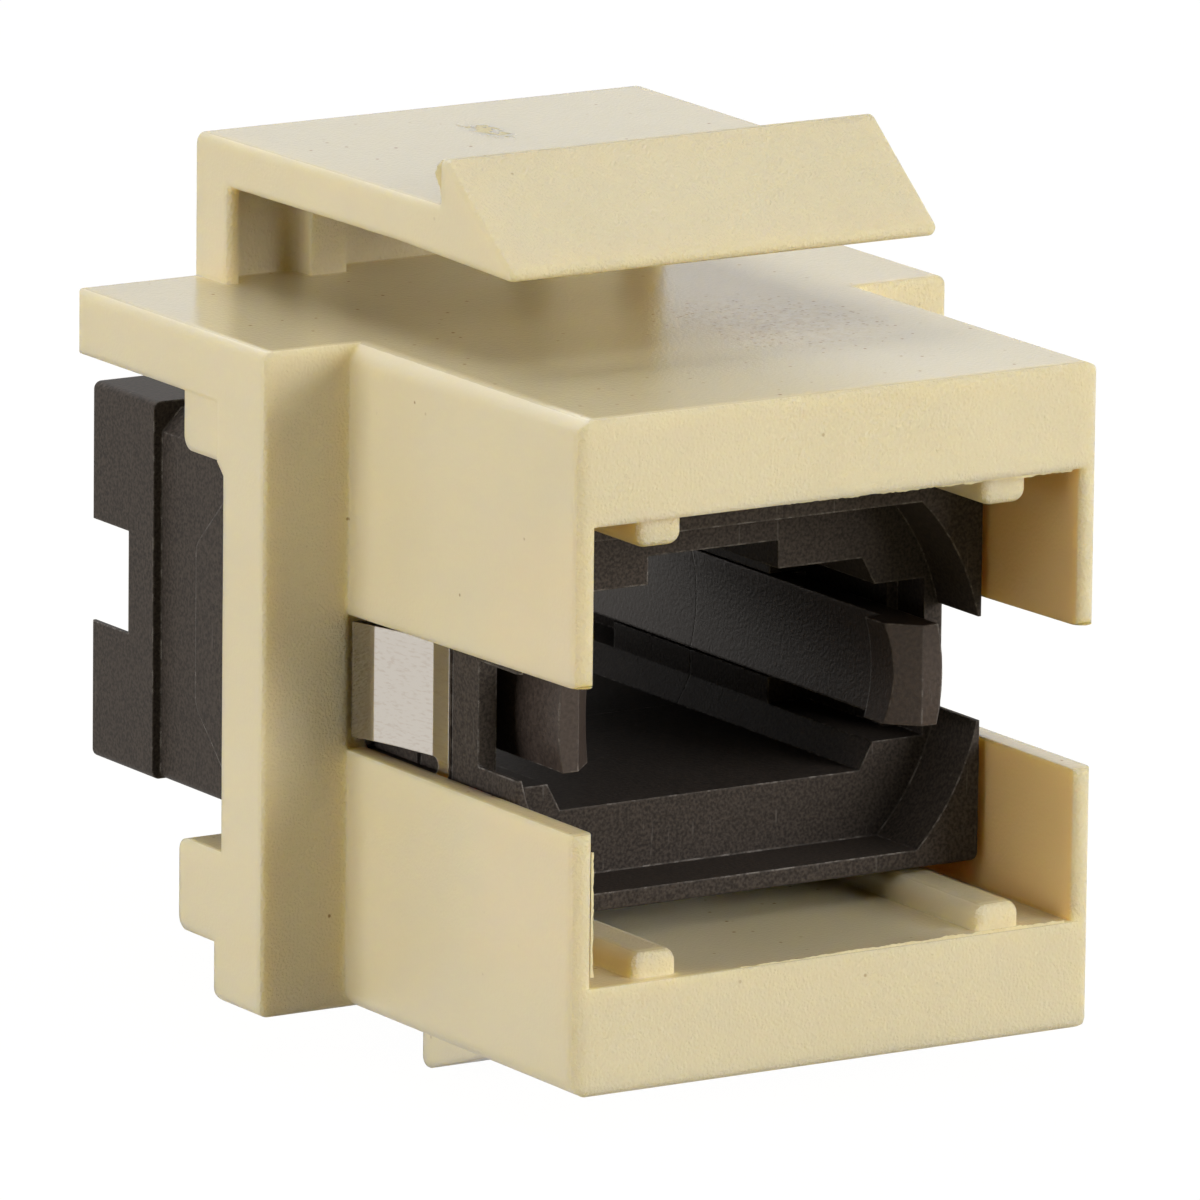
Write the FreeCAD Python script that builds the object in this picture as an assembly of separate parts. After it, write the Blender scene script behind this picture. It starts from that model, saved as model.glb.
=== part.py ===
import FreeCAD, Part
import math
import os
from FreeCAD import Vector

# Snap-in module that carries a multi-fibre adapter in a panel port.
# Millimetres. X runs across the port, -Y is the plug side, +Z is the latch side.
# The origin is the port axis on the plane where the flange meets the panel.
# Sizes build outwards: plug channel, latch inserts, shells, clip, housing.

# Plug channel
channel_width = 9.14
channel_height = 5.2
channel_corner_run = 0.36
channel_corner_rise = 0.67
keyway_width = 3.65
keyway_depth = 0.69

# Black latch inserts: curved hook arms on a cradle at the joint
arm_set_back = 0.16
arm_wall = 0.65
arm_height = 2.46
arm_flex_room = 0.32
arm_slot = 0.7
hook_depth = 0.41
hook_length = 1.0
hook_lead = 0.5
arm_free_length = 4.65
cradle_length = 1.4
cradle_bar_height = 0.8
cradle_cover = 0.5
cradle_lip = 0.43
insert_clearance = 0.05

# Black adapter: two mirrored shells that meet half way
adapter_length = 19.85
roof_wall = 1.21
waist_wall = 0.66
waist_inset = 0.14
waist_drop = 0.2
waist_chamfer = 0.55
shell_radius = 0.2
shell_edge_break = 0.09
collar_length = 2.95
collar_wall = 0.5
skirt_depth = 1.77
skirt_wall = 0.45
mouth_arc_radius = 5.95
mouth_rim_edge = 0.12
panel_rise = 0.1
panel_length = 5.18
panel_margin_top = 1.5
panel_margin_bottom = 0.7
panel_chamfer = 1.5
panel_corner = 0.6

# Spring clip in stainless sheet
clip_gauge = 0.22
clip_front_gap = 0.03
clip_front_strip = 0.68
clip_rear_strip = 0.7
clip_wing_lift = 1.0
clip_bend_radius = 0.3
barb_height = 2.8
barb_rise = 0.64
barb_knee_rise = 0.26
barb_knee_share = 0.55
barb_bend_radius = 0.6
barb_flare_radius = 8.0
barb_relief = 0.23
barb_seat_gap = 0.25
barb_clearance = 0.42
barb_corner_radius = 0.2

# Ivory housing: front body round the adapter
body_depth = 10.3
adapter_setback = 3.8
bore_side_clearance = 0.2
rib_clearance = 0.13
top_wall = 2.55
bottom_wall = 2.62
side_wall = 0.55
top_edge_radius = 0.5
bottom_edge_radius = 0.5
front_corner_radius = 0.37
brow_radius = 0.2
sill_radius = 0.2
wall_nose_radius = 0.3
slot_clearance = 0.35
slot_draft = 0.2
slot_lip_radius = 0.3
slot_overrun = 0.1

# Ivory housing: guide ribs in the mouth
rib_centre = 4.8
rib_width = 1.27
ceiling_rib_height = 0.74
floor_rib_height = 0.62
rib_setback = 0.35
rib_radius = 0.32
rib_nose_radius = 0.25

# Ivory housing: flange, latch plate and rear stops
flange_overhang = 2.35
flange_thickness = 1.86
flange_band_step = 0.3
flange_corner_radius = 0.25
flange_edge_break = 0.12
plate_thickness = 1.57
plate_reach = 8.9
plate_corner_radius = 0.3
stop_reach = 3.82
stop_height = 1.45
stop_inset = 0.08
foot_height = 2.25
foot_lift = 1.45
foot_width = 2.4
foot_radius = 0.35

# Ivory housing: flexing latch and fixed tooth
latch_inset = 0.95
latch_taper = 0.35
post_thickness = 1.55
latch_gap = 2.36
latch_thickness = 1.18
wedge_step = 1.95
wedge_run = 3.6
wedge_height = 1.33
wedge_droop = 0.18
wedge_radius = 0.2
latch_bend_radius = 0.3
latch_heel_radius = 0.1
latch_edge_radius = 0.18
post_pocket_depth = 0.85
post_pocket_wall = 0.35
post_pocket_radius = 0.5
post_rib_centre = 3.42
post_rib_width = 1.0
tooth_inset = 1.25
tooth_drop = 1.21
tooth_panel_gap = 1.55
tooth_tip = 0.4
tooth_ramp = 3.7
tooth_radius = 0.25

# Channel and insert planes
channel_half = channel_width / 2
channel_top = channel_height / 2
arm_inner_radius = channel_half + arm_set_back
arm_outer_radius = arm_inner_radius + arm_wall
arm_top = arm_height / 2
notch_top = arm_top + insert_clearance
pocket_top = arm_top + arm_slot
waist_pocket_half = arm_outer_radius + arm_flex_room
root_half = waist_pocket_half - insert_clearance

# Adapter planes
waist_half = waist_pocket_half + waist_wall
waist_top = channel_top + keyway_depth + roof_wall
adapter_half = waist_half + waist_inset
adapter_top = waist_top + waist_drop
collar_pocket_half = adapter_half - collar_wall
adapter_front = adapter_setback - body_depth
adapter_joint = adapter_front + adapter_length / 2
skirt_end = adapter_front + skirt_depth
collar_end = adapter_front + collar_length
pocket_end = skirt_end + arm_free_length

# Housing planes
body_front = -body_depth
bore_half = adapter_half + bore_side_clearance
bore_top = adapter_top + rib_clearance + ceiling_rib_height
bore_bottom = -adapter_top - rib_clearance - floor_rib_height
body_half = bore_half + side_wall
body_top = bore_top + top_wall
body_bottom = bore_bottom - bottom_wall
flange_half = body_half + flange_overhang
flange_band = flange_thickness + flange_band_step
plate_bottom = body_top - plate_thickness
stop_bottom = plate_bottom - stop_height
foot_bottom = body_bottom + foot_lift
foot_top = foot_bottom + foot_height
latch_half = body_half - latch_inset
latch_bottom = body_top + latch_gap
latch_top = latch_bottom + latch_thickness


def corner_points(before, corner, after, radius):
    """Tangent points and middle of the arc that rounds one corner."""
    to_before = (before - corner).normalize()
    to_after = (after - corner).normalize()
    half = to_before.getAngle(to_after) / 2
    reach = radius / math.tan(half)
    bisector = (to_before + to_after).normalize()
    middle = corner + bisector * (radius / math.sin(half) - radius)
    return corner + to_before * reach, middle, corner + to_after * reach


def outline(corners):
    """Closed run of lines and arcs from (u, v) or (u, v, radius) corners."""
    points = [Vector(u, v, 0) for u, v, *radius in corners]
    arcs = []
    ends = []
    for i, (u, v, *radius) in enumerate(corners):
        if radius:
            after = points[(i + 1) % len(points)]
            arcs.append(corner_points(points[i - 1], points[i], after, *radius))
            ends.append((arcs[-1][0], arcs[-1][-1]))
        else:
            ends.append((points[i], points[i]))
    lines = [(end[1], ends[(i + 1) % len(ends)][0]) for i, end in enumerate(ends)]
    return lines + arcs


def sweep(runs, axis, start, stop):
    """Solid swept along X, Y or Z from a flat outline of lines and arcs."""
    lift = {
        "X": lambda p: Vector(start, p.x, p.y),
        "Y": lambda p: Vector(p.x, start, p.y),
        "Z": lambda p: Vector(p.x, p.y, start),
    }[axis]
    along = {"X": Vector(1, 0, 0), "Y": Vector(0, 1, 0), "Z": Vector(0, 0, 1)}[axis]
    curves = [Part.LineSegment if len(run) == 2 else Part.Arc for run in runs]
    edges = [curve(*map(lift, run)).toShape() for curve, run in zip(curves, runs)]
    wire = Part.Wire(Part.sortEdges(edges)[0])
    return Part.Face(wire).extrude(along * (stop - start))


def prism(corners, axis, start, stop):
    """Solid with straight sides from the corners of its section."""
    return sweep(outline(corners), axis, start, stop)


def plate_section(half, low, high, low_radius, high_radius):
    """Section that is even about the middle, with rounded low and high corners."""
    return [
        (-half, low, low_radius),
        (half, low, low_radius),
        (half, high, high_radius),
        (-half, high, high_radius),
    ]


def box(x, y, z):
    """Box between pairs of limits."""
    size = (x[1] - x[0], y[1] - y[0], z[1] - z[0])
    return Part.makeBox(*size, Vector(x[0], y[0], z[0]))


def both_sides(shape):
    """A shape and its mirror image across the middle of the port."""
    return shape.fuse(shape.mirror(Vector(0, 0, 0), Vector(1, 0, 0)))


def to_rear(shape):
    """Mirror image across the joint of the two adapter shells."""
    return shape.mirror(Vector(0, adapter_joint, 0), Vector(0, 1, 0))


def eased(shape, radius, level):
    """A shape with its edges on one plane across Y rounded off."""
    rim = [e for e in shape.Edges if e.BoundBox.YLength < radius]
    rim = [e for e in rim if abs(e.CenterOfMass.y - level) < radius]
    return shape.makeFillet(radius, rim)


def join(shapes):
    return shapes[0].multiFuse(shapes[1:]).removeSplitter()


def channel(start, stop):
    """Plug passage with its keyway, swept along the adapter."""
    flat = channel_half - channel_corner_run
    shoulder = channel_top - channel_corner_rise
    key = keyway_width / 2
    right = [
        (key, channel_top + keyway_depth),
        (key, channel_top),
        (flat, channel_top),
        (channel_half, shoulder),
        (channel_half, -shoulder),
        (flat, -channel_top),
    ]
    left = [(-x, z) for x, z in reversed(right)]
    return prism(right + left, "Y", start, stop)


def cradle(grow):
    """U-shaped base of a latch insert, or its seat in the shell when grown."""
    outer = root_half + grow
    inner = channel_half + cradle_lip - grow
    high = -channel_top - cradle_cover + grow
    low = high - cradle_bar_height - 2 * grow
    depth = (adapter_joint - cradle_length - grow, adapter_joint)
    bar = box((-outer, outer), depth, (low, high))
    upright = box((inner, outer), depth, (low, grow - arm_top))
    return join([bar, both_sides(upright)])


def make_insert():
    hook_radius = arm_inner_radius - hook_depth
    lead_end = adapter_front + hook_lead
    hook_end = lead_end + hook_length
    inside = hook_radius - hook_lead
    blade_plan = [
        (hook_radius + hook_lead, adapter_front),
        (arm_outer_radius, adapter_front),
        (arm_outer_radius, adapter_joint),
        (inside, adapter_joint),
        (inside, lead_end + hook_lead),
    ]
    axis = Vector(0, 1, 0)
    around = Part.makeCylinder(arm_outer_radius, adapter_length, Vector(0, adapter_front, 0), axis)
    hook_bore = Part.makeCylinder(hook_radius, adapter_length, Vector(0, adapter_front, 0), axis)
    arm_bore = Part.makeCylinder(arm_inner_radius, adapter_length, Vector(0, hook_end, 0), axis)
    blade = prism(blade_plan, "Z", -arm_top, arm_top).common(around)
    root_depth = (pocket_end + insert_clearance, adapter_joint)
    root = box((inside, root_half), root_depth, (-arm_top, arm_top))
    arm = blade.fuse(root).cut(hook_bore).cut(arm_bore)
    return join([both_sides(arm), cradle(0)])


def mouth_outline(half_height):
    """Opening with flat top and bottom and bowed sides that meet the side notches."""
    edge_run = math.sqrt(mouth_arc_radius ** 2 - notch_top ** 2)
    offset = adapter_half - mouth_rim_edge - edge_run
    reach = offset + math.sqrt(mouth_arc_radius ** 2 - half_height ** 2)
    bow = Vector(offset + mouth_arc_radius, 0, 0)
    top_left = Vector(-reach, half_height, 0)
    top_right = Vector(reach, half_height, 0)
    low_left = Vector(-reach, -half_height, 0)
    low_right = Vector(reach, -half_height, 0)
    return [
        (top_left, top_right),
        (top_right, bow, low_right),
        (low_right, low_left),
        (low_left, -bow, top_left),
    ]


def shell_hollows():
    """Everything that is open in one shell, from its mouth to the joint."""
    notch = (-notch_top, notch_top)
    pocket = (-pocket_top, pocket_top)
    collar_pocket = (-collar_pocket_half, collar_pocket_half)
    waist_pocket = (-waist_pocket_half, waist_pocket_half)
    return [
        sweep(mouth_outline(adapter_top - skirt_wall), "Y", adapter_front, skirt_end),
        box((-body_half, body_half), (adapter_front, skirt_end), notch),
        channel(skirt_end, adapter_joint),
        box(collar_pocket, (skirt_end, collar_end), pocket),
        box(waist_pocket, (collar_end, pocket_end), pocket),
        box(waist_pocket, (pocket_end, adapter_joint), notch),
        cradle(insert_clearance),
    ]


def side_panel():
    """Raised panel on the side of the waist, with its end corners cut off."""
    front = adapter_joint - panel_length
    low = panel_margin_bottom - adapter_top
    high = waist_top - panel_margin_top
    side = [
        (front, low + panel_chamfer, panel_corner),
        (front + panel_chamfer, low, panel_corner),
        (adapter_joint, low),
        (adapter_joint, high),
        (front + panel_chamfer, high, panel_corner),
        (front, high - panel_chamfer, panel_corner),
    ]
    return both_sides(prism(side, "X", waist_pocket_half, waist_half))


def make_shell():
    collar = plate_section(adapter_half, -adapter_top, adapter_top, shell_radius, shell_radius)
    waist_side = waist_half - panel_rise
    waist = [
        (-waist_side, -adapter_top, shell_radius),
        (waist_side, -adapter_top, shell_radius),
        (waist_side, waist_top - waist_chamfer),
        (waist_side - waist_chamfer, waist_top),
        (waist_chamfer - waist_side, waist_top),
        (-waist_side, waist_top - waist_chamfer),
    ]
    collar = prism(collar, "Y", adapter_front, collar_end)
    collar = eased(collar, shell_edge_break, adapter_front)
    waist = prism(waist, "Y", skirt_end, adapter_joint)
    return join([collar, waist, side_panel()]).cut(shell_hollows())


def clip_barb(root, free):
    """Spring barb bent out of one wing, flaring towards its free end."""
    outer = waist_half + clip_gauge
    knee = root + barb_knee_share * (free - root)
    lean = math.atan2(barb_rise, free - root)
    inward = clip_gauge * math.cos(lean)
    shift = clip_gauge * math.sin(lean)
    plan = [
        (waist_half, root - clip_gauge),
        (outer, root - clip_gauge),
        (outer, root, barb_bend_radius),
        (outer + barb_knee_rise, knee, barb_flare_radius),
        (outer + barb_rise, free),
        (outer + barb_rise - inward, free + shift),
        (outer + barb_knee_rise - inward, knee + shift, barb_flare_radius),
        (waist_half, root + shift, barb_bend_radius),
    ]
    return prism(plan, "Z", -barb_height / 2, barb_height / 2)


def make_clip():
    outer = waist_half + clip_gauge
    low = clip_wing_lift - adapter_top
    start = collar_end + clip_front_gap
    root = start + clip_front_strip
    free = slot_overrun - barb_seat_gap
    window_end = free + barb_clearance
    stop = window_end + clip_rear_strip
    outer_bend = clip_bend_radius + clip_gauge
    over = [
        (-outer, low),
        (outer, low),
        (outer, waist_top + clip_gauge, outer_bend),
        (-outer, waist_top + clip_gauge, outer_bend),
    ]
    under = [
        (-waist_half, low),
        (waist_half, low),
        (waist_half, waist_top, clip_bend_radius),
        (-waist_half, waist_top, clip_bend_radius),
    ]
    barb_half = barb_height / 2
    window_half = barb_half + barb_clearance
    relief = root - barb_relief
    window = [
        (root, -barb_half),
        (relief, -barb_half, barb_corner_radius),
        (relief, -window_half, barb_corner_radius),
        (window_end, -window_half, barb_corner_radius),
        (window_end, window_half, barb_corner_radius),
        (relief, window_half, barb_corner_radius),
        (relief, barb_half, barb_corner_radius),
        (root, barb_half),
    ]
    band = prism(over, "Y", start, stop).cut(prism(under, "Y", start, stop))
    band = band.cut(prism(window, "X", -body_half, body_half))
    return join([band, both_sides(clip_barb(root, free))])


def housing_body():
    end = plate_section(body_half, body_bottom, body_top, bottom_edge_radius, top_edge_radius)
    plan = [
        (-body_half, flange_thickness),
        (-body_half, body_front, front_corner_radius),
        (body_half, body_front, front_corner_radius),
        (body_half, flange_thickness),
    ]
    side = [
        (body_front, body_bottom, sill_radius),
        (body_front, body_top, brow_radius),
        (flange_thickness, body_top),
        (flange_thickness, body_bottom),
    ]
    body = prism(end, "Y", body_front, flange_thickness)
    body = body.common(prism(plan, "Z", body_bottom, body_top))
    return body.common(prism(side, "X", -body_half, body_half))


def housing_flange():
    radius = flange_corner_radius
    end = plate_section(flange_half, body_bottom, body_top, radius, radius)
    side = [
        (0, body_bottom),
        (flange_band, body_bottom, foot_radius),
        (flange_band, foot_top),
        (flange_thickness, foot_top),
        (flange_thickness, stop_bottom - flange_band_step),
        (flange_band, stop_bottom),
        (flange_band, body_top),
        (0, body_top),
    ]
    flange = eased(prism(end, "Y", 0, flange_band), flange_edge_break, 0)
    return flange.common(prism(side, "X", -flange_half, flange_half))


def housing_plate():
    rear = plate_corner_radius
    plan = plate_section(flange_half, flange_thickness, plate_reach, flange_corner_radius, rear)
    side = [
        (flange_thickness, plate_bottom),
        (plate_reach, plate_bottom, plate_corner_radius),
        (plate_reach, body_top, brow_radius),
        (flange_thickness, body_top),
    ]
    end = [
        (-flange_half, plate_bottom),
        (flange_half, plate_bottom),
        (flange_half, body_top, flange_corner_radius),
        (-flange_half, body_top, flange_corner_radius),
    ]
    plate = prism(plan, "Z", plate_bottom, body_top)
    plate = plate.common(prism(side, "X", -flange_half, flange_half))
    return plate.common(prism(end, "Y", flange_thickness, plate_reach))


def housing_stops():
    """Bar under the plate and a foot on each side, all behind the flange."""
    bar = [
        (flange_thickness, stop_bottom),
        (stop_reach, stop_bottom, foot_radius),
        (stop_reach, plate_bottom),
        (flange_thickness, plate_bottom),
    ]
    foot = [
        (flange_thickness, foot_bottom),
        (stop_reach, foot_bottom, foot_radius),
        (stop_reach, foot_top, foot_radius),
        (flange_thickness, foot_top),
    ]
    bar_half = flange_half - stop_inset
    feet = both_sides(prism(foot, "X", flange_half - foot_width, flange_half))
    return [prism(bar, "X", -bar_half, bar_half), feet]


def housing_bore():
    """Passage for the adapter, with its side walls rounded off inside the mouth."""
    ahead = body_front - wall_nose_radius
    plan = [
        (-flange_half, ahead),
        (-flange_half, body_front),
        (-bore_half, body_front, wall_nose_radius),
        (-bore_half, stop_reach),
        (bore_half, stop_reach),
        (bore_half, body_front, wall_nose_radius),
        (flange_half, body_front),
        (flange_half, ahead),
    ]
    return prism(plan, "Z", bore_bottom, bore_top)


def slot_lip(edge, way):
    """Corner between a slot edge and the round that eases it at the mouth."""
    heart = Vector(-body_half, body_front + slot_lip_radius, edge + way * slot_lip_radius)
    corner = box((-body_half, body_half), (body_front, heart.y), sorted((edge, heart.z)))
    return corner.cut(Part.makeCylinder(slot_lip_radius, 2 * body_half, heart, Vector(1, 0, 0)))


def housing_slots():
    """Side slots that show the clip's barbs, open towards the plug."""
    edge = barb_height / 2 + slot_clearance
    side = [
        (slot_overrun, -edge),
        (body_front, -edge),
        (body_front, edge),
        (slot_overrun, edge - slot_draft),
    ]
    return join([prism(side, "X", -body_half, body_half), slot_lip(-edge, -1), slot_lip(edge, 1)])


def post_pocket(near, far):
    """Rounded hollow in the front of the latch post."""
    front = plate_reach - post_thickness
    back = front + post_pocket_depth
    plan = [
        (near, front),
        (near, back, post_pocket_radius),
        (far, back, post_pocket_radius),
        (far, front),
    ]
    return prism(plan, "Z", body_top, latch_bottom)


def housing_latch():
    """Arm that springs on its post, with the wedge that snaps behind the panel."""
    post_front = plate_reach - post_thickness
    root = body_top - brow_radius
    wedge_tip = -wedge_step - wedge_run
    side = [
        (plate_reach, root),
        (plate_reach, latch_top, latch_bend_radius),
        (-wedge_step, latch_top, latch_heel_radius),
        (-wedge_step, latch_top + wedge_height, wedge_radius),
        (wedge_tip, latch_bottom - wedge_droop, wedge_radius),
        (0, latch_bottom),
        (post_front, latch_bottom, latch_heel_radius),
        (post_front, root),
    ]
    tip_half = latch_half - latch_taper
    plan = [
        (-latch_half, plate_reach),
        (-tip_half, wedge_tip),
        (tip_half, wedge_tip),
        (latch_half, plate_reach),
    ]
    latch = prism(side, "X", -latch_half, latch_half)
    latch = latch.common(prism(plan, "Z", root, latch_top + wedge_height))
    rims = [e for e in latch.Edges if e.BoundBox.XLength < e.Length / 2]
    rims = [e for e in rims if e.BoundBox.ZMax > root + brow_radius]
    latch = latch.makeFillet(latch_edge_radius, rims)
    near = post_rib_centre - post_rib_width / 2
    far = post_rib_centre + post_rib_width / 2
    outer = latch_half - post_pocket_wall
    return latch.cut([post_pocket(-near, near), both_sides(post_pocket(far, outer))])


def housing_tooth():
    """Fixed tooth that hooks the other side of the panel."""
    rear = -tooth_panel_gap
    root = body_bottom + bottom_edge_radius
    tip = body_bottom - tooth_drop
    ramp = tooth_ramp * (root - tip) / tooth_drop
    side = [
        (rear, root),
        (rear, tip, tooth_radius),
        (rear - tooth_tip, tip, tooth_radius),
        (rear - tooth_tip - ramp, root),
    ]
    tooth_half = body_half - tooth_inset
    return prism(side, "X", -tooth_half, tooth_half)


def guide_rib(wall, crest):
    """Pair of ribs with a rounded crest and nose, rooted inside a wall of the bore."""
    start = body_front + rib_setback
    inner = rib_centre - rib_width / 2
    outer = rib_centre + rib_width / 2
    end = [(inner, wall), (inner, crest, rib_radius), (outer, crest, rib_radius), (outer, wall)]
    rib = prism(end, "Y", start, flange_thickness)
    nose = [e for e in rib.Edges if e.BoundBox.YMax < start + rib_nose_radius]
    return both_sides(rib.makeFillet(rib_nose_radius, nose))


def make_housing():
    shapes = [housing_body(), housing_flange(), housing_plate(), *housing_stops()]
    shell = join(shapes).cut([housing_bore(), housing_slots()])
    ceiling_ribs = guide_rib(bore_top + top_wall / 2, bore_top - ceiling_rib_height)
    floor_ribs = guide_rib(bore_bottom - bottom_wall / 2, bore_bottom + floor_rib_height)
    return join([shell, housing_latch(), housing_tooth(), ceiling_ribs, floor_ribs])


insert = make_insert()
shell = make_shell()
parts = {
    "keystone_housing": make_housing(),
    "adapter_front_shell": shell,
    "adapter_rear_shell": to_rear(shell),
    "front_latch_insert": insert,
    "rear_latch_insert": to_rear(insert),
    "mounting_clip": make_clip(),
}

os.makedirs("parts", exist_ok=True)
for name, shape in parts.items():
    shape.exportStep("parts/" + name + ".step")
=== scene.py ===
# %% [markdown]
# Multi-fibre adapter in a snap-in panel module.
# The imported CAD model is the frame. It is loaded first and never changed, because every
# Blender piece takes its place from it. The box of the CAD model is kept at once, and the
# floor and the lamps take their height and aim from it.

# %% Load the frame
import math
import random

import bmesh
import bpy
from mathutils import Matrix, Vector, noise


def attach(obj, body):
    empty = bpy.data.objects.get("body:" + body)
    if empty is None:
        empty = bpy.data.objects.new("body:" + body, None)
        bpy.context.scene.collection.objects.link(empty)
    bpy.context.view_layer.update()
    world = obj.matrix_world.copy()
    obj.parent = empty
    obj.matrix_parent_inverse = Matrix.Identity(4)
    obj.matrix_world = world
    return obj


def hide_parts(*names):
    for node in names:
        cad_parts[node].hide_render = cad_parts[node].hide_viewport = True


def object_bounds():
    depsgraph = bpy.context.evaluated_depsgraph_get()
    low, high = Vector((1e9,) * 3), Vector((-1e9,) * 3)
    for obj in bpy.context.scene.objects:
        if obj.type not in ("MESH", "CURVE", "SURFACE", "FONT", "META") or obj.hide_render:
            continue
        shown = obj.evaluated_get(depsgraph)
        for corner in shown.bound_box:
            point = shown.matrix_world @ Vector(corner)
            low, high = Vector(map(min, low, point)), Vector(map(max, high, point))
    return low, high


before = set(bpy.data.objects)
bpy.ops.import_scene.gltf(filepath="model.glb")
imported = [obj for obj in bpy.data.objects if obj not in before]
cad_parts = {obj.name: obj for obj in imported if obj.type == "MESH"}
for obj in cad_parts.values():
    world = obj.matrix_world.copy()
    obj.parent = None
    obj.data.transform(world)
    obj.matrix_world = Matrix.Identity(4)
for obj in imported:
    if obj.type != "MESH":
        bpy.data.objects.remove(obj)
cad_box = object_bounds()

MM = 0.001
scene = bpy.context.scene
scene.view_settings.view_transform = "Standard"


def box_mm(box):
    """The three lengths of a box in millimetres."""
    return [round(length / MM, 2) for length in box[1] - box[0]]


print("frame:", len(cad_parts), "solids,", box_mm(cad_box), "mm")

# %% [markdown]
# Colours are written as the sRGB hex values that a colour picker shows. Cycles works in
# linear light, so one function turns them. Pattern scales come from sizes in millimetres:
# a noise of scale S repeats about every 1/S metres on Object coordinates.


# %% Colour and pattern helpers
def linear(hex_colour):
    """Linear RGBA from an sRGB hex colour."""
    parts = [int(hex_colour[i:i + 2], 16) / 255 for i in (1, 3, 5)]
    return [p / 12.92 if p <= 0.04045 else ((p + 0.055) / 1.055) ** 2.4 for p in parts] + [1]


def pitch(size_mm):
    """Texture scale whose features are about this many millimetres wide."""
    return 1 / (size_mm * MM)


WHITE = linear("#FFFFFF")
BLACK = linear("#000000")
IVORY = ("#DBCFAC", "#D4C7A1")
print("ivory in linear light:", [round(c, 3) for c in linear(IVORY[0])])

# %% [markdown]
# Materials could be drawn by hand in the shader editor. Written as code they can be read
# and run again, so every shader node is made by one function, which sets its values and
# links it to other nodes. Four kinds of node are used again and again, so each has a
# short function of its own that hands back the output.


# %% Node helpers
def add(tree, kind, settings, sockets):
    """A shader node with its settings, socket values and links from other outputs."""
    node = tree.nodes.new("ShaderNode" + kind)
    for name, value in settings.items():
        setattr(node, name, value)
    for name, value in sockets.items():
        if isinstance(value, bpy.types.NodeSocket):
            tree.links.new(value, node.inputs[name])
        else:
            node.inputs[name].default_value = value
    return node


def ramp(tree, value, start, end, low=0, high=1):
    """A value that goes from low to high between two limits and stays level past them."""
    limits = {"From Min": start, "From Max": end, "To Min": low, "To Max": high}
    return add(tree, "MapRange", {}, {"Value": value, **limits}).outputs[0]


def result(tree, operation, *values):
    """The result of one Math node."""
    return add(tree, "Math", {"operation": operation}, dict(enumerate(values))).outputs[0]


def blend(tree, factor, first, second):
    """A colour between two colours."""
    sockets = {"Factor": factor, 6: first, 7: second}
    return add(tree, "Mix", {"data_type": "RGBA"}, sockets).outputs[2]


def grain_of(tree, place, size_mm, detail, **sockets):
    """A noise whose features are about this many millimetres wide."""
    sockets.update({"Vector": place, "Scale": pitch(size_mm), "Detail": detail})
    return add(tree, "TexNoise", {}, sockets).outputs["Fac"]


def new_material(name):
    """A material with an empty tree and its output node."""
    made = bpy.data.materials.new(name)
    made.use_nodes = True
    made.node_tree.nodes.clear()
    output = add(made.node_tree, "OutputMaterial", {}, {})
    return made, made.node_tree, output


def join(made, shader, output):
    """Links the finished shader of a material or world to its output."""
    made.node_tree.links.new(shader.outputs[0], output.inputs["Surface"])
    print(made.name, len(made.node_tree.nodes), "nodes")


print("nodes of Blender", bpy.app.version_string)

# %% [markdown]
# The camera stands where the photographer's did. It could be placed by eye, but its place
# and turn were solved from the object's own edges, so that the long lens gives the same
# weak perspective. The small shift frames the object as the photograph does.

# %% Camera
CAMERA_PLACE_MM = (-197.18, -313.93, 83.79)
camera_right = Vector((0.8488, -0.5286, 0.0109)).normalized()
camera_back = Vector((-0.5179, -0.8272, 0.2180)).normalized()
camera_up = camera_back.cross(camera_right)
turn = Matrix((camera_right, camera_up, camera_back)).transposed().to_4x4()
camera = bpy.data.objects.new("camera", bpy.data.cameras.new("camera"))
scene.collection.objects.link(camera)
camera.matrix_world = Matrix.Translation(Vector(CAMERA_PLACE_MM) * MM) @ turn
camera.data.sensor_width = 36
camera.data.lens = 475.4
camera.data.shift_x = 0.01273
camera.data.shift_y = 0.00399
camera.data.clip_start = 0.01
camera.data.clip_end = 10
scene.camera = camera
print("camera is", round(camera.location.length / MM), "mm from the port axis")

# %% [markdown]
# The photograph has a pure white ground. A plain white plane would go grey where the
# lamps fade, and with no floor there would be no shadow. So to the camera and to mirror
# reflections, which Light Path tells apart, the floor glows white, with a small share of
# plain paper that keeps the object's shadow on it. To all other light it is paper only.
# The paper's warm tone was chosen so that the light it throws back makes shaded faces look
# warm.

# %% Floor
PAPER = "#A69C7A"
PAPER_GLOW = 1.12
GLOW_SHARE = 0.88
FLOOR_RADIUS = 1.5

floor_material, tree, output = new_material("white_paper_floor")
path = add(tree, "LightPath", {}, {}).outputs
seen = result(tree, "MAXIMUM", path["Is Camera Ray"], path["Is Glossy Ray"])
seen = result(tree, "MAXIMUM", seen, path["Is Transmission Ray"])
share = result(tree, "MULTIPLY", seen, GLOW_SHARE)
paper = add(tree, "BsdfDiffuse", {}, {"Color": linear(PAPER)})
glow = add(tree, "Emission", {}, {"Color": WHITE, "Strength": PAPER_GLOW})
mixed = add(tree, "MixShader", {}, {"Fac": share, 1: paper.outputs[0], 2: glow.outputs[0]})
join(floor_material, mixed, output)

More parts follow.
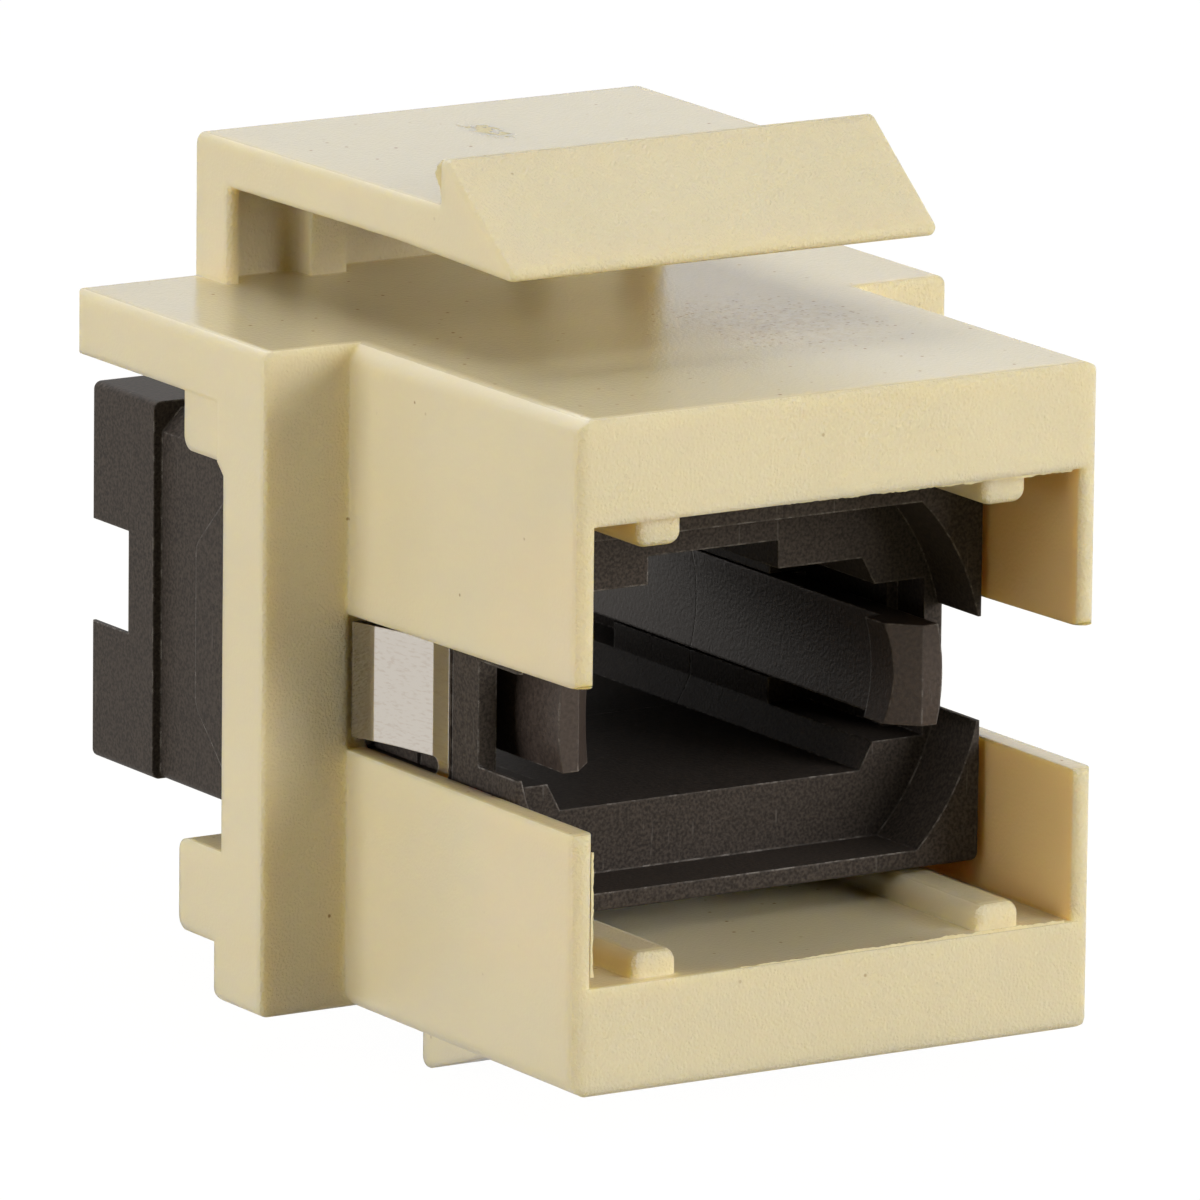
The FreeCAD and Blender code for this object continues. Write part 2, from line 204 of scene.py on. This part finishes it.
floor_mesh = bmesh.new()
bmesh.ops.create_circle(floor_mesh, cap_ends=True, segments=96, radius=FLOOR_RADIUS)
floor_level = cad_box[0].z
bmesh.ops.translate(floor_mesh, verts=floor_mesh.verts, vec=(0, 0, floor_level))
floor_data = bpy.data.meshes.new("floor")
floor_mesh.to_mesh(floor_data)
floor = bpy.data.objects.new("floor", floor_data)
floor.data.materials.append(floor_material)
scene.collection.objects.link(floor)
print("floor at", round(floor_level / MM, 2), "mm")

# %% [markdown]
# A world of even white would be simple, but it would light every face alike. This one is
# white where the camera looks and where polished tops mirror the backdrop behind the
# object. Towards the photographer's side the studio is dark, and to all other light the
# world is black, so that black plastic stays black and shaded faces stay deep.

# %% World
BACKDROP_FROM, BACKDROP_FULL = 0.1, 0.5

world = bpy.data.worlds.new("studio")
scene.world = world
world.use_nodes = True
tree = world.node_tree
tree.nodes.clear()
output = add(tree, "OutputWorld", {}, {})
path = add(tree, "LightPath", {}, {}).outputs
way = add(tree, "TexCoord", {}, {}).outputs["Generated"]
depth = add(tree, "SeparateXYZ", {}, {0: way}).outputs["Y"]
backdrop = ramp(tree, depth, BACKDROP_FROM, BACKDROP_FULL)
mirrored = result(tree, "MULTIPLY", path["Is Glossy Ray"], backdrop)
seen = result(tree, "MAXIMUM", path["Is Camera Ray"], path["Is Transmission Ray"])
seen = result(tree, "MAXIMUM", seen, mirrored)
bright = add(tree, "Background", {}, {"Color": WHITE, "Strength": 1})
dark = add(tree, "Background", {}, {"Color": BLACK, "Strength": 0})
mixed = add(tree, "MixShader", {}, {"Fac": seen, 1: dark.outputs[0], 2: bright.outputs[0]})
join(world, mixed, output)

# %% [markdown]
# Point lamps would throw hard shadows, so these are soft boxes: two overhead, a low one
# on the left that lights the side of the module, and one on the right that lights its
# front. The right one leaves the flange in the shade of the body, as in the photograph.
# Apart from what polished faces mirror, there is no other light, so shaded faces are lit by
# what the ivory and the warm paper throw back. The strengths were first fitted, by rendering
# the scene once with each lamp and setting the sum against the photograph, and were then
# adjusted.


# %% Lamps
def soft_box(name, place_mm, size_mm, watts):
    """A broad area lamp aimed at the middle of the object."""
    lamp = bpy.data.lights.new(name, "AREA")
    lamp.shape = "RECTANGLE"
    lamp.size = size_mm[0] * MM
    lamp.size_y = size_mm[1] * MM
    lamp.energy = watts
    thing = bpy.data.objects.new(name, lamp)
    place = Vector(place_mm) * MM
    aim = (cad_box[0] + cad_box[1]) / 2
    thing.location = place
    thing.rotation_euler = (aim - place).to_track_quat("-Z", "Y").to_euler()
    scene.collection.objects.link(thing)
    return thing


soft_box("rear_top_box", (0, 150, 220), (200, 200), 0.35)
soft_box("front_top_box", (20, -130, 230), (160, 160), 0.18)
left_box = soft_box("left_box", (-260, 10, 48), (220, 110), 0.55)
front_box = soft_box("front_box", (150, -225, 62), (160, 110), 0.73)
# The two low boxes stand level with the eye, and a polished top seen from the far side
# would mirror them as plain white, so mirror reflections leave them out.
for low_box in (left_box, front_box):
    low_box.visible_glossy = False

# %% [markdown]
# The module is injection-moulded ABS in ivory. ABS is a little translucent, so light
# spreads under thin edges and warms them. Faces that were polished in the mould are
# glossy, the front faces were spark-eroded and carry a fine pebbled grain, and a cloud
# of brown specks of burnt resin, with a thin brown haze among them, sits in the top of
# the body. The specks could be tiny meshes, but they lie in the plastic, so the material
# makes them: each cell of a Voronoi pattern draws a number, and the cell is burnt where
# that number is below the local density.

# %% Ivory ABS: where the mould was polished and where it was grained
ivory, tree, output = new_material("moulded_ivory_abs")
coords = add(tree, "TexCoord", {}, {})
place = coords.outputs["Object"]
facing = add(tree, "SeparateXYZ", {}, {0: coords.outputs["Normal"]}).outputs
grained = ramp(tree, facing["Y"], -0.3, -0.5)
upward = ramp(tree, facing["Z"], 0.8, 0.97)
print("masks for front faces and tops:", len(tree.nodes), "nodes so far")

# %% Ivory ABS: base colour
# In the photograph the inner face of a thin side wall looks warm, because light comes
# through it. A warmer colour on such faces stands in for that light. They look inwards
# and lie far from the middle, so X times the normal's X is low there.
WALL_TINT = "#DCBD7C"
WALL_TINT_SHARE = 0.85
WALL_TINT_FROM, WALL_TINT_FULL = -5.7 * MM, -6.3 * MM

cloud = grain_of(tree, place, 5, 2)
body = blend(tree, cloud, linear(IVORY[0]), linear(IVORY[1]))
across = add(tree, "SeparateXYZ", {}, {0: place}).outputs["X"]
inward = result(tree, "MULTIPLY", across, facing["X"])
thin = ramp(tree, inward, WALL_TINT_FROM, WALL_TINT_FULL, 0, WALL_TINT_SHARE)
body = blend(tree, thin, body, linear(WALL_TINT))
print("inner faces are warm past", round(-WALL_TINT_FROM / MM, 1), "mm from the middle")

# %% Ivory ABS: burnt specks that crowd on the right of the body's top
# The height counts five times over, so that the crowd stays on the one face.
SPECK, SPECK_MM = "#8C6B3A", 0.14
SPECK_RIM, SPECK_CORE = 0.42, 0.2
HAZE, HAZE_MM, HAZE_SHARE = "#B0965F", 0.3, 0.6
CROWD_MIDDLE_MM = (2.9, -2.8, 8.12)
CROWD_SQUEEZE = (1.3, 1, 5)
CROWD_CORE, CROWD_RIM = 0.8 * MM, 4 * MM
DENSEST, SPARSEST, STRAY_ON_TOPS = 0.85, 0.0015, 0.012

flat = add(tree, "Mapping", {}, {"Vector": place, "Scale": CROWD_SQUEEZE})
middle = [squeeze * mm * MM for squeeze, mm in zip(CROWD_SQUEEZE, CROWD_MIDDLE_MM)]
crowd = add(tree, "VectorMath", {"operation": "DISTANCE"}, {0: flat.outputs[0], 1: middle})
density = ramp(tree, crowd.outputs["Value"], CROWD_CORE, CROWD_RIM, DENSEST, SPARSEST)
stray = result(tree, "MULTIPLY_ADD", upward, STRAY_ON_TOPS, density)
cells = add(tree, "TexVoronoi", {}, {"Vector": place, "Scale": pitch(SPECK_MM)}).outputs
draws = add(tree, "SeparateColor", {}, {0: cells["Color"]}).outputs
chosen = result(tree, "LESS_THAN", draws[0], stray)
spot = ramp(tree, cells["Distance"], SPECK_RIM, SPECK_CORE)
speck = result(tree, "MULTIPLY", chosen, spot)
speck = result(tree, "MULTIPLY", speck, draws[1])
dust = grain_of(tree, place, HAZE_MM, 3, Roughness=0.8)
haze = ramp(tree, dust, 0.4, 0.6, 0, HAZE_SHARE)
haze = result(tree, "MULTIPLY", haze, density)
stained = blend(tree, haze, body, linear(HAZE))
colour = blend(tree, speck, stained, linear(SPECK))
print("specks in cells of", SPECK_MM, "mm crowd round", CROWD_MIDDLE_MM, "mm")

# %% Ivory ABS: gloss, grain and depth
SIDES_ROUGH, TOPS_ROUGH = 0.4, 0.16
SMUDGE_MM, SMUDGE_ROUGH = 0.5, 0.06
CLEAN_SHINE, BURNT_SHINE = 0.6, 0.12
SOFT_EDGE_MM = 0.22
PEBBLE_MM, PEBBLE_HEIGHT_MM, PLAIN_RELIEF = 0.08, 0.05, 0.15

sheen = ramp(tree, upward, 0, 1, SIDES_ROUGH, TOPS_ROUGH)
smudge = grain_of(tree, place, SMUDGE_MM, 2)
rough = result(tree, "MULTIPLY_ADD", smudge, SMUDGE_ROUGH, sheen)
relief = ramp(tree, grained, 0, 1, PLAIN_RELIEF, 1)
height = result(tree, "MULTIPLY", grain_of(tree, place, PEBBLE_MM, 1), relief)
edges = add(tree, "Bevel", {"samples": 4}, {"Radius": SOFT_EDGE_MM * MM})
shine = ramp(tree, speck, 0, 1, CLEAN_SHINE, BURNT_SHINE)
bump = add(tree, "Bump", {}, {
    "Strength": 1, "Distance": PEBBLE_HEIGHT_MM * MM, "Height": height,
    "Normal": edges.outputs[0]})
shader = add(tree, "BsdfPrincipled", {"subsurface_method": "BURLEY"}, {
    "Base Color": colour, "Roughness": rough, "IOR": 1.53, "Specular IOR Level": shine,
    "Subsurface Weight": 1, "Subsurface Radius": (1, 0.72, 0.16),
    "Subsurface Scale": 0.7 * MM, "Normal": bump.outputs[0]})
join(ivory, shader, output)

# %% [markdown]
# The adapter is black polymer in two grades. The shells are glass-filled: the filler
# leaves a dull, very fine grain, so the black reads as dark brown grey where it is lit.
# The hook arms are unfilled and smoother, because they have to flex. Handling has chipped
# the sharp edges, which show as pale flecks, and left faint rubbed scratches. Between the
# chips every edge keeps a faint pale line, which is partly wear and partly a painted
# highlight of the rounded edge. Worn edges could be painted by hand. Here a Bevel node
# rounds the normal, and where the rounded normal leaves the true one there is an edge, so
# every edge is found without painting.

# %% Black polymers
# The pale colour of chips, scratches and the painted highlight line on every edge.
PALE_WEAR_AND_HIGHLIGHT = "#96908A"
WARM_SHINE = "#FFF0E2"
WORN_EDGE_MM = 0.08
CHIP_MM, LEAST_WEAR_AND_HIGHLIGHT = 0.22, 0.22
SCRATCH_MM, SCRATCH_SHARE = 0.12, 0.14
SCRATCH_TURN, SCRATCH_STRETCH = (0.9, 0, 0), (1, 1, 0.08)


def black_polymer(name, shades, gloss, dullness, grain_mm):
    """Black moulded polymer with grain, faint scratches, and pale edges that are partly wear
    and partly painted highlight.
    """
    made, tree, output = new_material(name)
    place = add(tree, "TexCoord", {}, {}).outputs["Object"]
    grain = grain_of(tree, place, grain_mm, 2)
    mottle = ramp(tree, grain, 0.35, 0.65)
    body = blend(tree, mottle, linear(shades[0]), linear(shades[1]))
    edges = add(tree, "Bevel", {"samples": 4}, {"Radius": WORN_EDGE_MM * MM})
    true_normal = add(tree, "NewGeometry", {}, {}).outputs["Normal"]
    bend = add(tree, "VectorMath", {"operation": "DOT_PRODUCT"}, {
        0: edges.outputs[0], 1: true_normal})
    edge_band = ramp(tree, bend.outputs["Value"], 0.98, 0.85)
    chips = grain_of(tree, place, CHIP_MM, 3)
    # Chips add to a faint pale line on every edge, which is partly wear and partly a painted
    # highlight of the rounded edge.
    chips_and_highlight = ramp(tree, chips, 0.5, 0.62, LEAST_WEAR_AND_HIGHLIGHT, 1)
    wear_and_highlight = result(tree, "MULTIPLY", edge_band, chips_and_highlight)
    drawn = add(tree, "Mapping", {}, {
        "Vector": place, "Rotation": SCRATCH_TURN, "Scale": SCRATCH_STRETCH})
    strokes = grain_of(tree, drawn.outputs[0], SCRATCH_MM, 1)
    scratched = ramp(tree, strokes, 0.72, 0.8, 0, SCRATCH_SHARE)
    marked = result(tree, "MAXIMUM", wear_and_highlight, scratched)
    colour = blend(tree, marked, body, linear(PALE_WEAR_AND_HIGHLIGHT))
    rough = ramp(tree, grain, 0, 1, *dullness)
    bump = add(tree, "Bump", {}, {
        "Strength": 0.5, "Distance": 0.02 * MM, "Height": grain,
        "Normal": edges.outputs[0]})
    shader = add(tree, "BsdfPrincipled", {}, {
        "Base Color": colour, "Roughness": rough, "IOR": 1.55,
        "Specular IOR Level": gloss, "Specular Tint": linear(WARM_SHINE),
        "Normal": bump.outputs[0]})
    join(made, shader, output)
    return made


filled_black = black_polymer(
    "moulded_glass_filled_polymer", ("#302C29", "#49423D"), 0.09, (0.45, 0.62), 0.08)
smooth_black = black_polymer(
    "moulded_unfilled_polymer", ("#322B27", "#433A35"), 0.4, (0.36, 0.5), 0.1)

# %% [markdown]
# The clip is cold-rolled stainless strip. Rolling leaves fine straight lines along the
# strip. Anisotropic shading would draw out the highlights alone, so the lines are a noise
# that is stretched along the strip, and they show in colour, gloss and bump. The sheared
# edges are dull beside the rolled faces, and their dark colour is partly the duller sheared
# steel and partly painted shade, as the barb's top edge lies in the shade of the slot.

# %% Rolled stainless strip: rolled faces and sheared edges
ROLLED, SHADED_SHEARED_EDGE = ("#C6BFB6", "#BFB6AC"), "#4C4640"
ROLLED_ROUGH, SHEARED_EXTRA_ROUGH = (0.05, 0.13), 0.4
LINE_MM, LINE_STRETCH = 0.06, (1, 0.15, 1)

steel, tree, output = new_material("rolled_stainless_strip")
coords = add(tree, "TexCoord", {}, {})
stretch = add(tree, "Mapping", {}, {
    "Vector": coords.outputs["Object"], "Scale": LINE_STRETCH})
lines = grain_of(tree, stretch.outputs[0], LINE_MM, 2)
upright = add(tree, "SeparateXYZ", {}, {0: coords.outputs["Normal"]}).outputs["Z"]
sheared = ramp(tree, result(tree, "ABSOLUTE", upright), 0.6, 0.9)
rough = ramp(tree, lines, 0, 1, *ROLLED_ROUGH)
extra = ramp(tree, sheared, 0, 1, 0, SHEARED_EXTRA_ROUGH)
rough = result(tree, "ADD", rough, extra)
flecks = ramp(tree, lines, 0.52, 0.68)
face = blend(tree, flecks, linear(ROLLED[0]), linear(ROLLED[1]))
# The sheared faces take a dark colour that is partly the duller steel and partly painted
# shade.
colour = blend(tree, sheared, face, linear(SHADED_SHEARED_EDGE))
edges = add(tree, "Bevel", {"samples": 4}, {"Radius": 0.03 * MM})
bump = add(tree, "Bump", {}, {
    "Strength": 0.06, "Distance": 0.005 * MM, "Height": lines,
    "Normal": edges.outputs[0]})
print("lines", LINE_MM, "mm wide and", round(LINE_MM / LINE_STRETCH[1], 1), "mm long")

# %% Rolled stainless strip: what the barb mirrors
# The shading normal is tilted along the barb, so that it mirrors what the photograph shows
# there. The tilt is no measured bow.
FRONT_TILT_FROM, FRONT_TILT_FULL, FRONT_TILT = -2.84 * MM, -2.2 * MM, -0.09
REAR_TILT_FROM, REAR_TILT_FULL, REAR_TILT = -0.85 * MM, -0.65 * MM, 0.3

along = add(tree, "SeparateXYZ", {}, {0: coords.outputs["Object"]}).outputs["Y"]
front = ramp(tree, along, FRONT_TILT_FROM, FRONT_TILT_FULL, 0, FRONT_TILT)
rear = ramp(tree, along, REAR_TILT_FROM, REAR_TILT_FULL, 0, REAR_TILT)
tilt = add(tree, "CombineXYZ", {}, {"Y": result(tree, "ADD", front, rear)})
turned = add(tree, "VectorMath", {"operation": "ADD"}, {
    0: bump.outputs[0], 1: tilt.outputs[0]})
turned = add(tree, "VectorMath", {"operation": "NORMALIZE"}, {0: turned.outputs[0]})
shader = add(tree, "BsdfPrincipled", {}, {
    "Base Color": colour, "Metallic": 1, "Roughness": rough, "Normal": turned.outputs[0]})
join(steel, shader, output)

# %% [markdown]
# The solids could be modelled again in Blender, but copies of the CAD meshes keep their
# form. The CAD meshes are loose triangles. A copy of each is welded, its flat faces are
# merged, and its normals follow the larger faces, so that flats stay flat and rounds look
# round.

# %% Dressed copies of the solids
WELD_MM = 0.001
FLAT_ANGLE = math.radians(0.6)
SHARP_ANGLE = math.radians(28)


def keep(name, shape, material):
    """A mesh piece at the origin that rides on the body."""
    data = bpy.data.meshes.new(name)
    shape.to_mesh(data)
    piece = bpy.data.objects.new(name, data)
    piece.data.materials.append(material)
    scene.collection.objects.link(piece)
    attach(piece, "root")
    print(name, len(data.polygons), "faces")
    return piece


def dress(node, name, material):
    """Replaces one CAD solid by a welded, smoothly shaded copy of it."""
    shape = bmesh.new()
    shape.from_mesh(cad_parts[node].data)
    bmesh.ops.remove_doubles(shape, verts=shape.verts, dist=WELD_MM * MM)
    bmesh.ops.dissolve_limit(
        shape, angle_limit=FLAT_ANGLE, verts=shape.verts, edges=shape.edges,
        use_dissolve_boundaries=False, delimit=set())
    for face in shape.faces:
        face.smooth = True
    for edge in shape.edges:
        if len(edge.link_faces) == 2:
            edge.smooth = edge.calc_face_angle() < SHARP_ANGLE
    piece = keep(name, shape, material)
    even = piece.modifiers.new("face normals", "WEIGHTED_NORMAL")
    even.keep_sharp = True
    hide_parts(node)


dress("keystone_housing", "ivory_module", ivory)
dress("adapter_front_shell", "front_shell", filled_black)
dress("adapter_rear_shell", "rear_shell", filled_black)
dress("front_latch_insert", "front_hooks", smooth_black)
dress("rear_latch_insert", "rear_hooks", smooth_black)
dress("mounting_clip", "barbed_clip", steel)

# %% [markdown]
# The mould has leaked a little where its halves meet. The leaked plastic hangs on those
# edges as a ragged lip: on the left end of the latch wedge, under the brow, along the
# sill and inside the left wall. Bump would not show against the dark mouth, so the lips
# are meshes. Each is a thin triangle that is drawn along its edge in short steps. At each
# step its tip gets a random reach, averaged with the last one, so that the lip is ragged
# but no comb. Torn plastic is dull and yellow.

# %% Torn ivory ABS
TORN = ("#E6DAB0", "#D6C593")
GRIT_MM = 0.12

torn, tree, output = new_material("torn_ivory_abs")
place = add(tree, "TexCoord", {}, {}).outputs["Object"]
grit = grain_of(tree, place, GRIT_MM, 2)
colour = blend(tree, grit, linear(TORN[0]), linear(TORN[1]))
bump = add(tree, "Bump", {}, {"Strength": 0.8, "Distance": 0.03 * MM, "Height": grit})
shader = add(tree, "BsdfPrincipled", {"subsurface_method": "BURLEY"}, {
    "Base Color": colour, "Roughness": 0.6, "Subsurface Weight": 0.5,
    "Subsurface Radius": (1, 0.72, 0.3), "Subsurface Scale": 0.3 * MM,
    "Normal": bump.outputs[0]})
join(torn, shader, output)

# %% Ragged flash on the parting lines
FLASH_STEP_MM = 0.07
FEWEST_STEPS = 8


def flash(name, start_mm, end_mm, way, reach_mm, half_mm=0.04, least=0.4):
    """A ragged lip along a line, with its reach at even stations along it."""
    chance = random.Random(name)
    start = Vector(start_mm)
    run = Vector(end_mm) - start
    out = Vector(way).normalized()
    side = run.cross(out).normalized() * half_mm
    steps = max(FEWEST_STEPS, round(run.length / FLASH_STEP_MM))
    shape = bmesh.new()
    corners = (start - side, start + out * reach_mm[0], start + side)
    end = shape.faces.new([shape.verts.new(corner * MM) for corner in corners])
    ragged = 1
    for i in range(1, steps + 1):
        grown = bmesh.ops.extrude_face_region(shape, geom=[end])["geom"]
        if i > 1:
            # The face between two steps would stay inside the lip.
            bmesh.ops.delete(shape, geom=[end], context="FACES_ONLY")
        end = next(g for g in grown if isinstance(g, bmesh.types.BMFace))
        bmesh.ops.translate(shape, verts=end.verts, vec=run * MM / steps)
        station = i / steps * (len(reach_mm) - 1)
        low = min(int(station), len(reach_mm) - 2)
        reach = reach_mm[low] + (reach_mm[low + 1] - reach_mm[low]) * (station - low)
        ragged = (ragged + chance.uniform(least, 1)) / 2
        tip = max(end.verts, key=lambda vert: vert.co.dot(out))
        tip.co = (start + run * (i / steps) + out * reach * ragged) * MM
    bmesh.ops.recalc_face_normals(shape, faces=shape.faces)
    keep(name, shape, torn)


LEFT, RIGHT, FRONT, BROW, SILL = -2.6, 6.5, -10.2, 5.6, -5.48
flash("wedge_flash", (-5.88, -2.0, 11.55), (-5.85, -2.0, 12.74), (-1, 0.3, 0),
      (0.1, 0.1, 0.12, 0.15, 0.2, 0.26, 0.3, 0.26, 0.12), half_mm=0.12, least=0.7)
flash("brow_flash", (LEFT, FRONT, BROW), (RIGHT, FRONT, BROW), (0, -0.3, -1),
      (0.06, 0.1, 0.13, 0.12))
flash("sill_flash", (LEFT, FRONT, SILL), (RIGHT, FRONT, SILL), (0, -0.4, 1),
      (0.06, 0.12, 0.16, 0.15))
flash("wall_flash", (-6.72, -10.15, -5.2), (-6.72, -10.15, -2.2), (1, -0.4, 0),
      (0.1, 0.08))

# %% [markdown]
# The resin entered the mould through a gate on the latch arm. Where its sprue was broken
# off, the polished top is left with a small rough scar, raised by about a hundredth of a
# millimetre. It could be bump in the material, but the ragged rim of a mesh looks more
# like torn plastic. It is a fine grid, lifted by two noises, sunk under the surface at
# its rim and thickened downwards into the arm, so that it is closed.

# %% Gate scar on the latch arm
SCAR_MIDDLE_MM = (-0.13, 5.42)
SCAR_HALF_MM = (0.5, 1.2)
SCAR_TOP_MM = 11.66
SCAR_LIFT_MM = 0.014
SCAR_DEPTH_MM = 0.2

scar = bmesh.new()
bmesh.ops.create_grid(scar, x_segments=40, y_segments=80, size=1)
for vert in scar.verts:
    x, y = vert.co.x, vert.co.y
    # There are more waves along the longer side, so bumps are about as long as wide.
    coarse = noise.noise(Vector((x * 3.3, y * 6.1, 0.4)))
    fine = noise.noise(Vector((x * 9, y * 19, 2.6)))
    dome = 0.3 - x * x - y * y
    lift = 0.02 * dome + 0.02 * coarse + 0.01 * fine
    vert.co = Vector((
        SCAR_MIDDLE_MM[0] + SCAR_HALF_MM[0] * x,
        SCAR_MIDDLE_MM[1] + SCAR_HALF_MM[1] * y,
        SCAR_TOP_MM + min(SCAR_LIFT_MM, lift))) * MM
bmesh.ops.solidify(scar, geom=scar.faces[:], thickness=SCAR_DEPTH_MM * MM)
bmesh.ops.recalc_face_normals(scar, faces=scar.faces)
for face in scar.faces:
    face.smooth = True
scar_heights = [vert.co.z / MM for vert in scar.verts]
print("scar from", round(min(scar_heights), 3), "to", round(max(scar_heights), 3), "mm")
keep("gate_scar", scar, torn)
